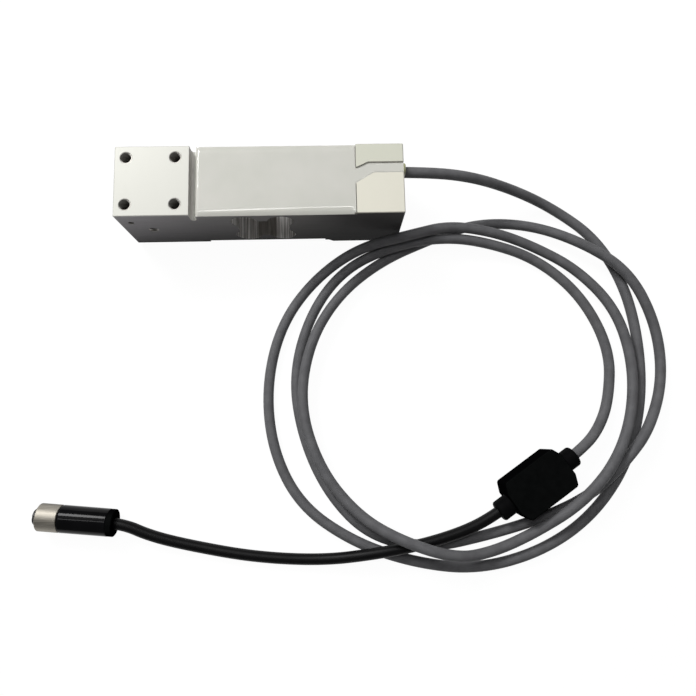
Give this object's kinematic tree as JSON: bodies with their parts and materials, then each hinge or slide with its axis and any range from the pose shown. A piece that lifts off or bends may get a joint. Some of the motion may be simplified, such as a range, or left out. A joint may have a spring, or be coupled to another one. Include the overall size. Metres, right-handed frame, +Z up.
{
  "type": "strain gauge load cell",
  "caption": "Single point bending beam load cell with a lobed window, sealed gauge recess, grey signal cable, in-line converter box and round connector on a short black cable.",
  "frame": {"origin": "middle of the beam's footprint, at the plane that the foot stands on", "axes": "+X along the beam towards the cable end, +Y to the back, +Z up to the loading face"},
  "size_m": [0.3485, 0.2256, 0.044],
  "materials": {
    "anodised_aluminium": "satin, clear anodised",
    "sealant": "smooth matte silicone",
    "exit_compound": "smooth semi-gloss",
    "polyimide_film": "thin amber film",
    "gauge_foil": "etched foil",
    "green_board": "solder mask",
    "resistor_body": "moulded",
    "varnished_wire": "enamelled",
    "insulation_red": "extruded",
    "insulation_green": "extruded",
    "insulation_white": "extruded",
    "insulation_black": "extruded",
    "grey_jacket": "satin extruded",
    "black_jacket": "satin extruded",
    "black_case": "fine moulded",
    "screw_steel": "plated",
    "black_rubber": "moulded",
    "plated_metal": "satin nickel",
    "insert_plastic": "moulded",
    "contact_gold": "plated"
  },
  "bodies": {
    "load_cell": {"spring_body": "anodised_aluminium", "top_sealant": "sealant", "bottom_sealant": "sealant", "exit_seal": "exit_compound", "gauge_backing_top_left": "polyimide_film", "gauge_grid_top_left": "gauge_foil", "gauge_backing_top_right": "polyimide_film", "gauge_grid_top_right": "gauge_foil", "gauge_backing_bottom_left": "polyimide_film", "gauge_grid_bottom_left": "gauge_foil", "gauge_backing_bottom_right": "polyimide_film", "gauge_grid_bottom_right": "gauge_foil", "compensation_board": "green_board", "trim_resistors": "resistor_body", "bridge_wires_top": "varnished_wire", "bridge_wires_bottom": "varnished_wire", "conductor_red": "insulation_red", "conductor_green": "insulation_green", "conductor_white": "insulation_white", "conductor_black": "insulation_black", "grey_cable": "grey_jacket", "black_cable": "black_jacket", "converter_case_lower": "black_case", "converter_case_upper": "black_case", "case_screws": "screw_steel", "converter_board": "green_board", "board_components": "resistor_body", "cable_grommet_in": "black_rubber", "cable_grommet_out": "black_rubber", "input_leads": "insulation_white", "output_leads": "insulation_black", "connector_rear_cap": "black_case", "connector_body": "black_case", "contact_insert": "insert_plastic", "contact_sockets": "contact_gold", "o_ring": "black_rubber", "cable_clamp": "black_rubber", "connector_leads": "insulation_white"},
    "coupling_ring": {"coupling_ring": "plated_metal"}
  },
  "joints": [
    {"name": "ring_turn", "type": "hinge", "parent": "load_cell", "child": "coupling_ring", "pos_m": [-0.11546, -0.17145, 0.00725], "axis": [-0.9946, 0.1034, 0], "continuous": true}
  ]
}
